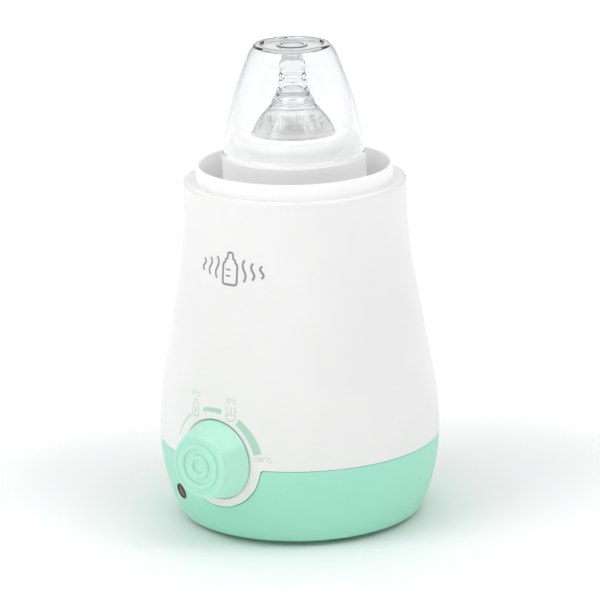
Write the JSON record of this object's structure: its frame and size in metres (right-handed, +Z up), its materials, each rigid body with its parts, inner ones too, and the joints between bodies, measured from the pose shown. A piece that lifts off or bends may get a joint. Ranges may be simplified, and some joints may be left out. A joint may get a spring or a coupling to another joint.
{
  "type": "bottle warmer",
  "caption": "Electric bottle warmer: tapering white body on a mint green base, round water chamber, front temperature knob, lamp, and a baby bottle with teat and clear hood.",
  "frame": {"origin": "on the resting surface, on the axis of the body and the water chamber", "axes": "+Z up along the body's axis; the temperature knob faces -Y and the cord inlet faces +Y"},
  "size_m": [0.12, 0.1313, 0.2046],
  "materials": {
    "white_shell": "moulded white polypropylene, soft gloss",
    "mint_shell": "moulded mint green polypropylene, soft gloss",
    "white_chamber": "moulded white polypropylene, heat resistant",
    "foot_rubber": "grey soft rubber, matte",
    "seal_silicone": "translucent white silicone",
    "plate_aluminium": "turned aluminium, satin",
    "bright_steel": "zinc plated steel",
    "sheath_steel": "heater sheath, annealed stainless steel",
    "ceramic": "steatite ceramic, off-white, matte",
    "brass": "machined brass",
    "silver_contact": "silver contact",
    "lens_red": "smoked red-brown polycarbonate",
    "black_trim": "black moulded plastic",
    "lamp_glass": "neon lamp glass",
    "block_nylon": "natural nylon",
    "lead_brown": "brown silicone insulation",
    "lead_blue": "blue silicone insulation",
    "lead_earth": "green and yellow insulation",
    "lead_white": "white glass-fibre sleeve",
    "bottle_clear": "clear polypropylene, slightly milky",
    "ring_white": "moulded white polypropylene",
    "teat_silicone": "clear silicone",
    "hood_clear": "clear polystyrene"
  },
  "bodies": {
    "base": {"upper_housing": "white_shell", "lower_casing": "mint_shell", "foot_ring": "foot_rubber", "casing_screws": "bright_steel", "water_chamber": "white_chamber", "heating_plate": "plate_aluminium", "plate_seal": "seal_silicone", "clamp_ring": "bright_steel", "clamp_screws": "bright_steel", "heating_element": "sheath_steel", "element_beads": "ceramic", "element_tabs": "bright_steel", "thermal_fuse": "lead_white", "fuse_clip": "bright_steel", "thermostat_bracket": "bright_steel", "bracket_screws": "bright_steel", "spindle_bushing": "brass", "thermostat_insulators": "ceramic", "contact_blades": "brass", "contact_points": "silver_contact", "bimetal_strip": "brass", "stack_rivet": "bright_steel", "lens_bezel": "black_trim", "indicator_lens": "lens_red", "lamp_holder": "black_trim", "neon_lamp": "lamp_glass", "cord_gland": "foot_rubber", "terminal_block": "block_nylon", "terminal_screws": "brass", "live_lead": "lead_brown", "switched_lead": "lead_brown", "fuse_lead": "lead_white", "neutral_lead": "lead_blue", "earth_lead": "lead_earth"},
    "knob_set": {"knob": "mint_shell", "knob_clip": "bright_steel", "thermostat_spindle": "bright_steel"},
    "bottle": {"bottle_body": "bottle_clear"},
    "teat_set": {"teat": "teat_silicone"},
    "ring": {"screw_ring": "ring_white"},
    "hood_set": {"hood": "hood_clear"}
  },
  "joints": [
    {"name": "knob_turn", "type": "hinge", "parent": "base", "child": "knob_set", "pos_m": [0, -0.06, 0.038], "axis": [0, 1, 0], "range_deg": [-154, 41]},
    {"name": "bottle_lift", "type": "slide", "parent": "base", "child": "bottle", "axis": [0, 0, 1], "range_m": [0, 0.1]},
    {"name": "teat_rise", "type": "slide", "parent": "bottle", "child": "teat_set", "axis": [0, 0, 1], "range_m": [0, 0.0081]},
    {"name": "ring_turn", "type": "hinge", "parent": "teat_set", "child": "ring", "pos_m": [0, 0, 0.155], "axis": [0, 0, 1], "range_deg": [0, 720]},
    {"name": "hood_lift", "type": "slide", "parent": "ring", "child": "hood_set", "axis": [0, 0, 1], "range_m": [0, 0.05]}
  ],
  "couplings": [
    {"joint": "teat_rise", "follows": "ring_turn", "m_per_rad": 0.00063662}
  ]
}
